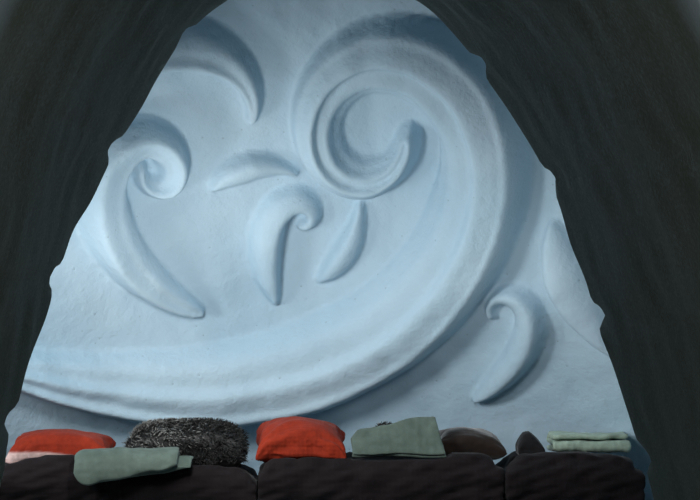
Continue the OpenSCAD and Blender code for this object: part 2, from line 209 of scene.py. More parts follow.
def woven(name, colour, thread_mm, sheen, weave=0.5, lining=None):
    """Woven cloth: crossing threads with slubs, some fuzz, and tone that changes where it is worn.
    lining gives a pale colour, a painted highlight, to the part whose points carry it."""
    material, tree, shader, place = new_material(name)
    slub = put(tree, NOISE, Vector=place, Scale=per_metre(thread_mm * 8), Detail=3.0, Roughness=0.6)
    worn = put(tree, NOISE, Vector=place, Scale=per_metre(130), Detail=3.0)
    slubs = put(tree, RAMP, {"stops": [(0.3, grey(0.72)), (0.7, grey(1.0))]}, Fac=slub)
    fades = put(tree, RAMP, {"stops": [(0.35, grey(0.78)), (0.65, grey(1.0))]}, Fac=worn)
    base = tuple(colour)
    # Painted highlight: a pale colour over the part whose points carry it
    if lining:
        part = put(tree, POINT_VALUE, {"attribute_name": "lining"}, "Fac")
        base = put(tree, MIX, COVER, 2, _0=part, _6=base, _7=tuple(lining))
    shade = put(tree, MIX, TIMES, 2, _0=1.0, _6=base, _7=slubs)
    shade = put(tree, MIX, TIMES, 2, _0=1.0, _6=shade, _7=fades)
    threads = [put(tree, WAVES, {"bands_direction": way}, Vector=place, Scale=per_metre(thread_mm) / 20,
                   Distortion=0.8, Detail=1.0) for way in "XYZ"]
    cross = put(tree, MATH, {"operation": "ADD"}, _0=threads[0], _1=threads[1])
    cross = put(tree, MATH, {"operation": "ADD"}, _0=cross, _1=threads[2])
    relief = put(tree, BUMP, Height=slub, Strength=0.35, Distance=0.004)
    relief = put(tree, BUMP, Height=cross, Strength=weave, Distance=0.0008, Normal=relief)
    put(tree, shader, Base_Color=shade, Normal=relief, Roughness=0.85, Sheen_Weight=sheen,
        Sheen_Roughness=0.4, Specular_IOR_Level=0.25)
    return material


def hairy(name, colour, tip):
    """Fur: each hair runs from a dark root to its own tip, by the value along at its points; the tips of
    hairs chosen at the upper left carry a painted highlight in a pale colour.
    """
    material, tree, shader, place = new_material(name)
    along = put(tree, POINT_VALUE, {"attribute_name": "along"}, "Fac")
    stops = [(0.0, tone("#0D0C0C")), (0.5, tuple(colour)), (1.0, tuple(tip))]
    shade = put(tree, RAMP, {"stops": stops}, Fac=along)
    patch = put(tree, NOISE, Vector=place, Scale=per_metre(70))
    patch = put(tree, RAMP, {"stops": [(0.35, grey(0.6)), (0.65, grey(1.0))]}, Fac=patch)
    shade = put(tree, MIX, TIMES, 2, _0=1.0, _6=shade, _7=patch)
    put(tree, shader, Base_Color=shade, Roughness=0.55, Sheen_Weight=0.08, Specular_IOR_Level=0.35)
    return material


# Each finish: how it is made, its colour above, and the rest. Threads are drawn about twice as coarse as the
# real ones, whose 1 to 2 mm wouldn't show
FINISHES = {
    # Wind-packed snow sawn into blocks: matt, white, layered as it fell
    "sawn snow": (snow, "block_snow", {"pit_mm": 46, "beds": 0.2}),
    # The same snow in the tunnel, painted grey inside for the tunnel's shade
    "glazed snow": (snow, "block_snow", {"pit_mm": 60, "lump": 0.2, "glaze": "glazed_snow"}),
    # Snow carved with a spade and brushed: smooth, blue in its depth, with few pits
    "brushed snow": (snow, "carved_snow", {"pit_mm": 62}),
    # Snow trodden hard: dense and a little grey
    "trodden snow": (snow, "bench_snow", {"pit_mm": 40}),
    # Cotton combed on its outside: matt, with soft threads, faded where hands hold it, with a pale rose
    # painted highlight on the left cushion's flank
    "brushed cotton": (woven, "red_cotton", {"thread_mm": 2.6, "sheen": 0.04, "lining": "rose_cotton"}),
    # A close weave of dark yarn: matt, with slubs that catch some light
    "cotton twill": (woven, "pad_twill", {"thread_mm": 3.2, "sheen": 0.08}),
    # Blankets fulled until their threads run together: dull, thick, a little fuzzy
    "felted grey wool": (woven, "grey_wool", {"thread_mm": 4.4, "sheen": 0.15, "weave": 0.7}),
    # The right blanket's paler copy of the wool is painted light, for the dimmer light at the right end
    "felted pale wool": (woven, "pale_wool", {"thread_mm": 4.0, "sheen": 0.15, "weave": 0.7}),
    # Plain stiff canvas, nearly black, paler where it is seen edge on
    "dark canvas": (woven, "pouch_cloth", {"thread_mm": 3.2, "sheen": 0.2}),
    # A short dense pile: dark from above, with a pale rim
    "short plush": (woven, "plush", {"thread_mm": 3.6, "sheen": 0.5, "weave": 0.4}),
    # Long hair of a hide, dark at its roots, with a painted highlight on the tips of some hairs at its upper
    # left
    "long fur": (hairy, "fur", {"tip": "fur_tip"}),
}


def finish_named(name):
    """Each material is made once."""
    if name in bpy.data.materials:
        return bpy.data.materials[name]
    maker, colour, more = FINISHES[name]
    more = {key: getattr(colours(), v) if isinstance(v, str) else v for key, v in more.items()}
    return maker(name, getattr(colours(), colour), **more)


# Mesh helpers

def pick(*objects):
    """Selects only these objects, and makes the last one active."""
    bpy.ops.object.select_all(action="DESELECT")
    for obj in objects:
        obj.select_set(True)
    bpy.context.view_layer.objects.active = objects[-1]


def apply_modifier(obj, kind, **settings):
    """Adds a modifier and applies it."""
    pick(obj)
    modifier = obj.modifiers.new(kind.title(), kind)
    for key, value in settings.items():
        setattr(modifier, key, value)
    bpy.ops.object.modifier_apply(modifier=modifier.name)


def points_of(obj, what="co"):
    """The places of a mesh's points, or their normals."""
    flat = np.empty(len(obj.data.vertices) * 3)
    obj.data.vertices.foreach_get(what, flat)
    return flat.reshape(-1, 3)


def set_points(obj, points):
    obj.data.vertices.foreach_set("co", np.ascontiguousarray(points).ravel())
    obj.data.update()


def set_value(obj, name, values):
    """Writes one number for each point, for a material to read."""
    attribute = obj.data.attributes.new(name, "FLOAT", "POINT")
    attribute.data.foreach_set("value", np.ascontiguousarray(values, dtype=np.float32))


def close_up(obj, merge=0.0):
    """Merges doubles and turns all faces outwards."""
    pick(obj)
    bpy.ops.object.mode_set(mode="EDIT")
    bpy.ops.mesh.select_all(action="SELECT")
    if merge:
        bpy.ops.mesh.remove_doubles(threshold=merge)
    bpy.ops.mesh.normals_make_consistent(inside=False)
    bpy.ops.object.mode_set(mode="OBJECT")


def primitive(name, add, location=(0, 0, 0), **settings):
    """Adds a primitive while nothing else is selected."""
    bpy.ops.object.select_all(action="DESELECT")
    add(location=location, **settings)
    obj = bpy.context.view_layer.objects.active
    obj.name = obj.data.name = name
    return obj


def grid(name, across, up):
    """A flat sheet of squares from -1 to 1, to be laid over a curved face."""
    obj = primitive(name, bpy.ops.mesh.primitive_grid_add, x_subdivisions=across, y_subdivisions=up, size=2)
    return obj, points_of(obj)[:, 0], points_of(obj)[:, 1]


def copy_of(name, node):
    """A merged mesh from a copy of a CAD node."""
    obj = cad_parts[node].copy()
    obj.data = obj.data.copy()
    obj.parent = None
    for key in list(obj.keys()):
        del obj[key]
    obj.data.materials.clear()
    bpy.context.scene.collection.objects.link(obj)
    obj.name = obj.data.name = name
    close_up(obj, 0.00005)
    return obj


def islands(obj):
    """The middle of each separate solid of a mesh."""
    parent = list(range(len(obj.data.vertices)))

    def root(i):
        while parent[i] != i:
            parent[i] = parent[parent[i]]
            i = parent[i]
        return i

    for edge in obj.data.edges:
        a, b = (root(i) for i in edge.vertices)
        parent[a] = b
    owner = np.array([root(i) for i in range(len(parent))])
    points = points_of(obj)
    return np.array([points[owner == r].mean(axis=0) for r in np.unique(owner)])


def cad_box(node):
    low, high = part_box(node)
    return np.array(low), np.array(high)


def keep_in(obj, node, below=(0, 0, 0), above=(0, 0, 0)):
    """Keeps a mesh inside its CAD node's box, apart from what cloth or hair may stand proud."""
    low, high = cad_box(node)
    set_points(obj, np.clip(points_of(obj), low - below, high + above))


def wander(points, size, seed, waves=20):
    """A smooth wandering value of about -1 to 1 over space, with lumps of a real size."""
    rng = np.random.default_rng(seed)
    ways = rng.normal(size=(waves, 3))
    ways *= (2 * math.pi / size * rng.uniform(0.55, 1.4, waves) / np.linalg.norm(ways, axis=1))[:, None]
    return np.sin(points @ ways.T + rng.uniform(0, 6.28, waves)).sum(axis=1) / math.sqrt(waves)


def swell(obj, amount):
    """Moves each point along its normal."""
    set_points(obj, points_of(obj) + points_of(obj, "normal") * np.asarray(amount)[:, None])


def finish_piece(obj, finish, slot, nodes=()):
    """Gives a piece its material, lets it ride, and hides the CAD nodes that it stands for. slot is not
    used.
    """
    obj.data.materials.clear()
    obj.data.materials.append(finish_named(finish))
    obj.data.shade_smooth()
    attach(obj, BODY)
    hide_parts(*nodes)
    return obj


# The curves of the room and the entrance: hanging chains turned over

def chain_scale(half, high):
    """The scale of the chain curve that is this wide and this high, by bisection."""
    low, top = 0.06, 20.0
    for _ in range(60):
        middle = (low + top) / 2
        if middle * (math.cosh(half / middle) - 1) > high:
            low = middle
        else:
            top = middle
    return (low + top) / 2


def depth_under(half, high, across, up):
    """How far points lie inside a chain curve, across its line."""
    scale = chain_scale(half, high)
    bent = np.cosh(np.minimum(np.abs(across) / scale, 20.0))
    return (high + scale - scale * bent - up) / bent


ROOM_SCALE = chain_scale(ROOM_RADIUS, ROOM_HEIGHT)


def room_radius(z):
    """How far the room's face is from its middle at a height."""
    return ROOM_SCALE * np.arccosh(1 + (ROOM_HEIGHT - np.clip(z, 0, ROOM_HEIGHT)) / ROOM_SCALE)


def room_wall(x, z, out):
    """Points of the back wall at the place x, z, standing out into the room."""
    r = room_radius(z)
    y = np.sqrt(np.maximum(r * r - x * x, 1e-6))
    slope = -1.0 / np.sinh(np.maximum(r / ROOM_SCALE, 0.05))
    length = np.sqrt(1 + slope * slope)
    normal = np.stack([x / r / length, y / r / length, -slope / length], axis=-1)
    return np.stack([x, y + DOME_Y, z], axis=-1) - normal * np.asarray(out)[..., None]


def room_edge(x, z):
    """Where the room's face begins along the tunnel, above a point of its width and height."""
    return DOME_Y - np.sqrt(np.maximum(room_radius(z) ** 2 - x ** 2, 0.01))


def thin(obj, hidden, ratio):
    """Takes faces away where they don't show, until this share of them all is left."""
    group = obj.vertex_groups.new(name="hidden")
    group.add([int(i) for i in hidden], 1.0, "REPLACE")
    apply_modifier(obj, "DECIMATE", ratio=ratio, vertex_group="hidden")
    obj.vertex_groups.clear()


def lay_back(obj, back):
    """Lays the back of a thickened sheet, hidden in the blocks, on smooth points, and thins it."""
    points = points_of(obj)
    count = len(back)
    points[count:] = back
    set_points(obj, points)
    thin(obj, range(count, 2 * count), ratio=0.515)


# Snow blocks

# Faces deeper than this don't show, and lose most of their mesh
HIDDEN, THINNED = 0.06, 0.94


def weathered_blocks(node, voxel, finish, hidden_depth, lumps):
    """Sawn snow blocks with worn edges and faces that wander a little, as wind and hands leave them.
    hidden_depth tells how far points lie behind the faces that show."""
    obj = copy_of("snow_" + node, node)
    middles = islands(obj)
    apply_modifier(obj, "REMESH", mode="VOXEL", voxel_size=voxel)
    apply_modifier(obj, "SMOOTH", factor=0.5, iterations=3)
    depth = hidden_depth(points_of(obj))
    swell(obj, lumps(points_of(obj)) * np.clip((0.10 - depth) / 0.05, 0, 1))
    keep_in(obj, node)
    behind = np.nonzero(depth > HIDDEN)[0]
    thin(obj, behind, 1 - THINNED * len(behind) / len(depth))
    points = points_of(obj)
    nearest = np.argmin(((points[:, None, :] - middles[None]) ** 2).sum(axis=2), axis=1)
    rng = np.random.default_rng(sum(ord(c) for c in node))
    set_value(obj, "shade", rng.random(len(middles))[nearest])
    return finish_piece(obj, finish, "snow_blocks", [node])


def behind_dome_face(points):
    radius = np.hypot(points[:, 0], points[:, 1] - DOME_Y)
    return depth_under(OUTER_RADIUS, OUTER_HEIGHT, radius, points[:, 2])


def behind_tunnel_faces(points):
    x, y, z = points.T
    # The lining covers the inner faces, apart from the mouth and the edge towards the room
    covered = (y > PORCH_FRONT + 0.12) & (y < room_edge(x, z) - 0.25)
    inner = np.where(covered, 1.0, -depth_under(ARCH_HALF, ARCH_HEIGHT, x, z))
    outer = depth_under(VAULT_HALF, VAULT_HEIGHT, x, z)
    outer = np.where(behind_dome_face(points) > 0.12, 1.0, outer)
    return np.minimum(np.minimum(inner, outer), np.where(y < DOME_Y - 3.0, y - PORCH_FRONT, 1.0))


def drifted(points):
    """Soft lumps of wind-worn faces, mostly worn away."""
    return 0.006 * (wander(points, 0.42, 3) - 1) + 0.004 * (wander(points, 0.12, 4, 30) - 0.6)


def scraped(points):
    """Long shallow strokes of the shovel, up and down."""
    strokes = points * [1.0, 0.8, 0.22]
    return 0.003 * (wander(points, 0.5, 5) - 1) + 0.0035 * (wander(strokes, 0.10, 6, 30) - 0.5)


def nodes_like(*starts):
    return sorted(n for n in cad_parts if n.startswith(starts))


class IGLOO_OT_courses(bpy.types.Operator):
    """Weather the snow blocks of the dome's courses and its top block"""
    bl_idname = "igloo.courses"
    bl_label = "Dome courses"

    def execute(self, context):
        for node in nodes_like("course_", "top_block"):
            weathered_blocks(node, sizes().dome_grain, "sawn snow", behind_dome_face, drifted)
        return {"FINISHED"}


class IGLOO_OT_tunnel(bpy.types.Operator):
    """Weather the snow blocks of the entrance tunnel, line its inside with ice, and paint shade over it"""
    bl_idname = "igloo.tunnel"
    bl_label = "Entrance tunnel"

    def execute(self, context):
        for node in nodes_like("porch_arch", "inner_arch"):
            grain = sizes().porch_grain if node.startswith("porch") else sizes().tunnel_grain
            obj = weathered_blocks(node, grain, "glazed snow", behind_tunnel_faces, scraped)
            x, y, z = points_of(obj).T
            # Painted shade: grey over the inner faces, from a hand's length inside the mouth
            near = np.clip((0.12 + depth_under(ARCH_HALF, ARCH_HEIGHT, x, z)) / 0.06, 0, 1)
            set_value(obj, "glaze", near * self.shade_inwards(y))
        self.skin()
        return {"FINISHED"}

    def shade_inwards(self, y):
        """Painted shade: snow is white at the tunnel's mouth, where light reaches it, and painted grey from
        a hand's length inwards.
        """
        return np.clip((y - PORCH_FRONT - 0.02) / 0.20, 0, 1)

    def skin(self):
        """A skin of ice that fills the joints, down to the notches at the edge towards the room."""
        from_mouth, from_room = 0.04, 0.035
        ice, dip, dip_half, dip_fade, back = 0.015, 0.046, 0.020, 0.16, -0.06
        scale = chain_scale(ARCH_HALF, ARCH_HEIGHT)
        arc = scale * math.sinh(ARCH_HALF / scale)
        obj, u, v = grid("tunnel_lining", 330, 100)
        s = arc * u
        x = scale * np.arcsinh(s / scale)
        bent = np.cosh(x / scale)
        z = np.maximum(ARCH_HEIGHT + scale - scale * bent, 0)
        start, end = PORCH_FRONT + from_mouth, room_edge(x, z) - from_room
        y = start + (end - start) * (v + 1) / 2
        place = np.stack([s, 0.6 * y, 0 * s], axis=1)
        out = ice + 0.006 * wander(place, 0.45, 8) + 0.003 * wander(place, 0.13, 9)
        to_room = np.clip(1 - (end - y) / dip_fade, 0, 1)
        for joint in ARCH_JOINTS:
            near = np.exp(-((s - joint) / dip_half) ** 2)
            out -= near * (0.003 + dip * to_room ** 2)
        out -= 0.03 * np.clip(1 - np.minimum(y - start, end - y) / 0.03, 0, 1) ** 2

        def placed(out):
            along = out / bent
            return np.stack([x - along * np.sinh(x / scale), y, np.maximum(z - along, 0)], axis=1)

        set_points(obj, placed(out))
        close_up(obj)
        side = -1 if obj.data.polygons[0].normal.x > 0 else 1
        apply_modifier(obj, "SOLIDIFY", thickness=0.02, offset=side)
        lay_back(obj, placed(np.full(len(x), back)))
        close_up(obj)
        # Painted shade over the ice skin, as on the blocks
        set_value(obj, "glaze", self.shade_inwards(points_of(obj)[:, 1]))
        finish_piece(obj, "glazed snow", "snow_blocks")


# Carving: scrolls that wind up as they go, at places, lengths and widths in shares of the room's height

Scroll = namedtuple("Scroll", "at heading long turn wind wide high ridge flutes")
SCROLLS = {
    "scroll_wave": [Scroll((-0.431, 0.350), -20, 1.345, 105, 1450, 0.068, 0.200, -0.45, 3)],
    "scroll_left": [Scroll((-0.150, 0.412), 158, 0.440, -110, -1350, 0.036, 0.150, 0.4, 2)],
    "scroll_top": [Scroll((-0.275, 0.712), 44, 0.270, -95, -230, 0.033, 0.130, -0.4, 2)],
    "curl_left": [Scroll((-0.045, 0.424), 112, 0.220, -60, -1000, 0.024, 0.100, -0.4, 1)],
    "curl_right": [Scroll((0.235, 0.290), 38, 0.220, 50, 850, 0.022, 0.100, -0.4, 1)],
    "scroll_leaves": [
        Scroll((0.016, 0.452), 34, 0.120, 55, 0, 0.019, 0.080, 0.3, 1),
        Scroll((-0.128, 0.575), 45, 0.120, -70, 0, 0.018, 0.080, 0.3, 1),
        Scroll((0.322, 0.525), -78, 0.190, 30, 0, 0.027, 0.090, -0.3, 1),
    ],
}


def scroll_path(scroll, steps):
    """The middle line of a scroll: each step turns a little more than the last."""
    x, z = (v * ROOM_HEIGHT for v in scroll.at)
    angle, step = scroll.heading, scroll.long * ROOM_HEIGHT / steps
    for i in range(steps + 1):
        yield x, z, math.radians(angle), i / steps
        angle += (scroll.turn + scroll.wind * (i / steps) ** 3) / steps
        x += step * math.cos(math.radians(angle))
        z += step * math.sin(math.radians(angle))


def scroll_height(scroll, x, z, steps=180):
    """How far one scroll stands out at each point of the wall, and the skirt in which it runs out."""
    best = np.full(x.shape, 1e9)
    side = np.zeros(x.shape)
    along = np.zeros(x.shape)
    line = list(scroll_path(scroll, steps))
    for (px, pz, _, share), (qx, qz, _, _) in zip(line, line[1:]):
        ex, ez = qx - px, qz - pz
        t = np.clip(((x - px) * ex + (z - pz) * ez) / (ex * ex + ez * ez), 0, 1)
        dx, dz = x - px - t * ex, z - pz - t * ez
        distance = dx * dx + dz * dz
        nearer = distance < best
        best[nearer] = distance[nearer]
        side[nearer] = (ex * dz - ez * dx)[nearer]
        along[nearer] = (share + t / steps)[nearer]
    full = 0.25 + 0.75 * np.sin(np.pi * np.clip(along, 0, 1) ** 0.8)
    q = np.sign(side) * np.sqrt(best) / (scroll.wide * ROOM_HEIGHT * full)
    t = (q - scroll.ridge) / (1 - scroll.ridge * np.sign(q - scroll.ridge))
    body = np.clip(1 - t * t, 0, 1) ** 0.6
    # Folds run along the scroll, steep on one side, and fade on its broad part
    phase = (scroll.flutes * (0.5 + 0.5 * np.clip(q, -1, 1) + 0.22 * along)) % 1.0
    fold = np.where(phase < 0.72, phase / 0.72, (1 - phase) / 0.28)
    fold = fold * fold * (3 - 2 * fold)
    flute = 1 - (0.34 - 0.24 * full) * (1 - fold) * (scroll.flutes > 1)
    # The gentle side runs out into the wall in a soft skirt, which fades at both ends
    gentle = np.sign(scroll.ridge) * -q
    ends = np.clip(np.sin(np.pi * np.clip(along, 0, 1)) * 1.6 - 0.1, 0, 1)
    skirt = 0.16 * ends * np.exp(-np.maximum(np.abs(q) - 1, 0) * 3.0) * np.clip(0.5 + gentle, 0.12, 1)
    return scroll.high * (0.35 + 0.65 * full) * np.stack([body * flute, skirt])


def evened(field, shape, reach):
    """A height field of rows and columns, evened out over some squares."""
    field = field.reshape(shape)
    for axis in (0, 1, 0, 1, 0, 1):
        field = np.mean([np.roll(field, k, axis) for k in range(-reach, reach + 1)], axis=0)
    return field.ravel()


# The carved part of the wall: half its width, its foot and top, and the rim in which it sinks into the wall
CARVED_HALF, CARVED_LOW, CARVED_HIGH, CARVED_RIM = 1.42, 0.46, 2.52, 0.10


def carved_reach(z):
    """Half the width of the carved part of the wall at a height."""
    return np.minimum(CARVED_HALF, 0.9 * room_radius(z))


def inside_carved(x, z):
    """How far points of the wall lie inside the edge of its carved part."""
    return np.min([carved_reach(z) - np.abs(x), z - CARVED_LOW, CARVED_HIGH - z], axis=0)


class IGLOO_OT_carved_wall(bpy.types.Operator):
    """Carve the scrolls into the back wall of the room"""
    bl_idname = "igloo.carved_wall"
    bl_label = "Carved wall"

    def execute(self, context):
        step, high = sizes().carving_grain, CARVED_HIGH - CARVED_LOW
        across, up = round(2 * CARVED_HALF / step), round(high / step)
        obj, u, v = grid("carved_wall", across, up)
        z = CARVED_LOW + high * (v + 1) / 2
        x = carved_reach(z) * u
        relief, skirt = np.max([scroll_height(s, x, z) for group in SCROLLS.values() for s in group], axis=0)
        relief = np.maximum(relief, evened(skirt, (up + 1, across + 1), 3))
        sink = 1 - np.clip(inside_carved(x, z) / CARVED_RIM, 0, 1)
        flat = np.stack([x, z, 0 * x], axis=1)
        drift = 0.007 * wander(flat, 0.55, 11) + 0.003 * wander(flat, 0.17, 12)
        set_points(obj, room_wall(x, z, relief * (1 - sink) + sizes().lining + 0.008 + drift - 0.024 * sink))
        apply_modifier(obj, "SMOOTH", factor=0.4, iterations=2)
        apply_modifier(obj, "SOLIDIFY", thickness=0.03, offset=-1)
        lay_back(obj, room_wall(x, z, np.full(len(x), -0.02)))
        finish_piece(obj, "brushed snow", "carved_snow", SCROLLS)
        return {"FINISHED"}


class IGLOO_OT_lining(bpy.types.Operator):
    """Smooth the inside of the room over the blocks' joints"""
    bl_idname = "igloo.lining"
    bl_label = "Room lining"

    def execute(self, context):
        vent = 0.058
        obj, u, v = grid("room_lining", 160, 64)
        arc_end, arc_start = (ROOM_SCALE * math.sinh(r / ROOM_SCALE) for r in (ROOM_RADIUS, vent))
        s = arc_end + (arc_start - arc_end) * (v + 1) / 2
        r = ROOM_SCALE * np.arcsinh(s / ROOM_SCALE)
        slope = np.sinh(r / ROOM_SCALE)
        bent = np.hypot(1, slope)
        turn = math.pi * u - math.pi / 2
        high = ROOM_HEIGHT + ROOM_SCALE - ROOM_SCALE * bent
        place = np.stack([r * np.cos(turn), r * np.sin(turn), high], axis=1)
        out = sizes().lining + 0.004 * wander(place, 0.8, 13) * (v < 0.9) * (v > -0.97)
        # Behind the carved part of the wall it keeps back
        out -= 0.016 * np.clip(inside_carved(place[:, 0], high) / CARVED_RIM - 1, 0, 1) * (place[:, 1] > 0)
        radius = r - slope / bent * out
        up = np.maximum(0.0, high - out / bent)
        set_points(obj, np.stack([radius * np.cos(turn), DOME_Y + radius * np.sin(turn), up], axis=1))
        close_up(obj, 0.0005)
        apply_modifier(obj, "SOLIDIFY", thickness=0.022, offset=1)
        close_up(obj)
        self.cut_doorway(obj)
        finish_piece(obj, "brushed snow", "snow_blocks")
        return {"FINISHED"}

    def cut_doorway(self, obj):
        """Opens the lining to the tunnel with a solid a little larger than the doorway."""
        half, high, count = ARCH_HALF + 0.05, ARCH_HEIGHT + 0.05, 50
        scale = chain_scale(half, high)
        cutter = primitive("doorway", bpy.ops.mesh.primitive_circle_add, vertices=count, fill_type="NGON")
        x = half * np.cos(np.linspace(0, math.pi, count - 1))
        arch = np.stack([x, 0 * x + DOME_Y - 3.0, high - scale * (np.cosh(x / scale) - 1)], axis=1)
        arch[[0, -1], 2] = -0.5
        set_points(cutter, np.concatenate([arch, [[0.0, DOME_Y - 3.0, -0.5]]]))
        bpy.ops.object.mode_set(mode="EDIT")
        bpy.ops.mesh.select_all(action="SELECT")
        bpy.ops.mesh.extrude_region_move(TRANSFORM_OT_translate={"value": (0, 2.6, 0)})
        bpy.ops.object.mode_set(mode="OBJECT")
        close_up(cutter)
        apply_modifier(obj, "BOOLEAN", operation="DIFFERENCE", object=cutter)
        bpy.data.objects.remove(cutter)


class IGLOO_OT_bench(bpy.types.Operator):
    """Shape the packed snow bench"""
    bl_idname = "igloo.bench"
    bl_label = "Snow bench"

    def execute(self, context):
        obj = copy_of("packed_snow_bench", "snow_bench")
        apply_modifier(obj, "REMESH", mode="VOXEL", voxel_size=0.036)
        apply_modifier(obj, "SMOOTH", factor=0.5, iterations=5)
        points = points_of(obj)
        points[:, 1] -= 0.008 * (wander(points, 0.3, 21) - 1) * (points[:, 1] < DOME_Y + 1.3)
        set_points(obj, points)
        keep_in(obj, "snow_bench")
        finish_piece(obj, "trodden snow", "packed_snow", ["snow_bench"])
        return {"FINISHED"}


# Soft goods

def inflate(obj, pressure, cap, frames=20):
    """Fills a closed cloth shell with air for some frames, and keeps each point near where it was."""
    before = points_of(obj)
    pick(obj)
    cloth = obj.modifiers.new("Cloth", "CLOTH")
    cloth.settings.use_pressure = True
    cloth.settings.uniform_pressure_force = pressure
    cloth.settings.effector_weights.gravity = 0.0
    cloth.point_cache.frame_start = 1
    cloth.point_cache.frame_end = frames
    for number in range(1, frames + 1):
        bpy.context.scene.frame_set(number)
    bpy.ops.object.modifier_apply(modifier=cloth.name)
    bpy.context.scene.frame_set(1)
    move = points_of(obj) - before
    length = np.linalg.norm(move, axis=1, keepdims=True)
    set_points(obj, before + move * np.minimum(1, cap / np.maximum(length, 1e-9)))


def pillow(name, node, inset, seam=-0.2, rise=0.0, fall=0.0, pull=0.07, pinch=0.15, blunt=2.6, grain=0.0055):
    """A cushion before it is filled: two faces of cloth sewn at a seam, whose sides pull in between the
    corners, and whose underside is pressed flat into its pad. The seam lies at a share of the height,
    rises to the back and falls to the right."""
    low, high = cad_box(node)
    low, high = low + [inset, inset, -SINK], high - [inset, inset, inset]
    obj = primitive(name, bpy.ops.mesh.primitive_cube_add, size=2)
    bpy.ops.object.mode_set(mode="EDIT")
    bpy.ops.mesh.select_all(action="SELECT")
    bpy.ops.mesh.subdivide(number_cuts=31)
    bpy.ops.object.mode_set(mode="OBJECT")
    u, v, w = points_of(obj).T
    crown = pinch + (1 - pinch) * np.sqrt(np.clip((1 - np.abs(u) ** blunt) * (1 - np.abs(v) ** 2.6), 0, 1))
    line = np.clip(seam + rise * v - fall * u, -0.95, 0.9)
    top = np.clip(1 - 1.35 * fall * np.maximum(u + 0.3, 0) ** 1.5, line + 0.1, 1)
    z = np.where(w > 0, line + (top - line) * crown * w, line + (line + 1) * np.minimum(1, 1.7 * crown) * w)
    shaped = np.stack([u * (1 - pull * (1 - v * v)), v * (1 - pull * (1 - u * u)), z], axis=1)
    set_points(obj, (low + high) / 2 + shaped * (high - low) / 2)
    apply_modifier(obj, "REMESH", mode="VOXEL", voxel_size=grain)
    apply_modifier(obj, "SMOOTH", factor=0.5, iterations=2)
    return obj


def shares_of(obj, node):
    """Each point's place in its node's box, from -1 to 1 each way."""
    low, high = cad_box(node)
    return ((points_of(obj) - (low + high) / 2) / ((high - low) / 2)).T


def corner_folds(obj, node, amount, seed, folds=9):
    """Wrinkles that fan out from the corners of a filled cover."""
    points = points_of(obj)
    low, high = cad_box(node)
    centre, half = (low + high) / 2, (high - low) / 2
    rng = np.random.default_rng(seed)
    push = 0.35 * wander(points, 0.09, seed + 9)
    for sx in (-1, 1):
        for sy in (-1, 1):
            away = points - (centre + half * np.array([sx, sy, 0]) * 0.94)
            reach = np.linalg.norm(away, axis=1)
            angle = np.arctan2(-sy * away[:, 1], -sx * away[:, 0]) + 0.5 * away[:, 2] / half[2]
            wave = np.sin(folds * angle + rng.uniform(0, 6.28) + 1.2 * wander(points, 0.12, seed + 5))
            push += wave * np.exp(-reach / (0.42 * half[0] + 0.02)) * np.clip(reach / 0.05, 0, 1)
    swell(obj, amount * push)
    apply_modifier(obj, "SMOOTH", factor=0.4, iterations=2)


# Where the pads end along the bench, and how far their tops fall there, as places and depths
PAD_ENDS = (-1.231, -0.6875, -0.1875, 0.7145, 1.231)
PAD_FALLS = [
    ([-1.23, -1.10, -0.95, -0.80, -0.69], [0.085, 0.030, -0.004, 0.000, 0.022]),
    ([-0.68, -0.63, -0.42, -0.30, -0.19], [0.012, -0.018, -0.012, 0.008, 0.050]),
    ([-0.18, -0.13, 0.00, 0.62, 0.71], [0.040, 0.012, -0.004, 0.000, 0.024]),
    ([0.72, 0.80, 0.95, 1.10, 1.23], [0.024, 0.004, -0.004, 0.004, 0.034]),
]
ON_PADS = ("cushion_red_left", "cushion_red_middle", "cushion_fur", "cushion_brown", "fur_throw",
           "dark_pouch", "blanket_middle", "blanket_right")
# A pad crowns this high, this far behind its front and half this wide, and things sink into it this deep
PAD_CROWN, CROWN_BACK, CROWN_HALF, SINK = 0.018, 0.10, 0.07, 0.008
# How far the left end of a cushion hangs, from a share of its half length outwards
HANGS = {"cushion_red_left": (0.1, 0.034), "cushion_red_middle": (0.55, 0.030)}


def hang_of(node, u):
    start, depth = HANGS.get(node, (1.0, 0.0))
    return depth * np.clip((-u - start) / (1.001 - start), 0, 1) ** 1.5


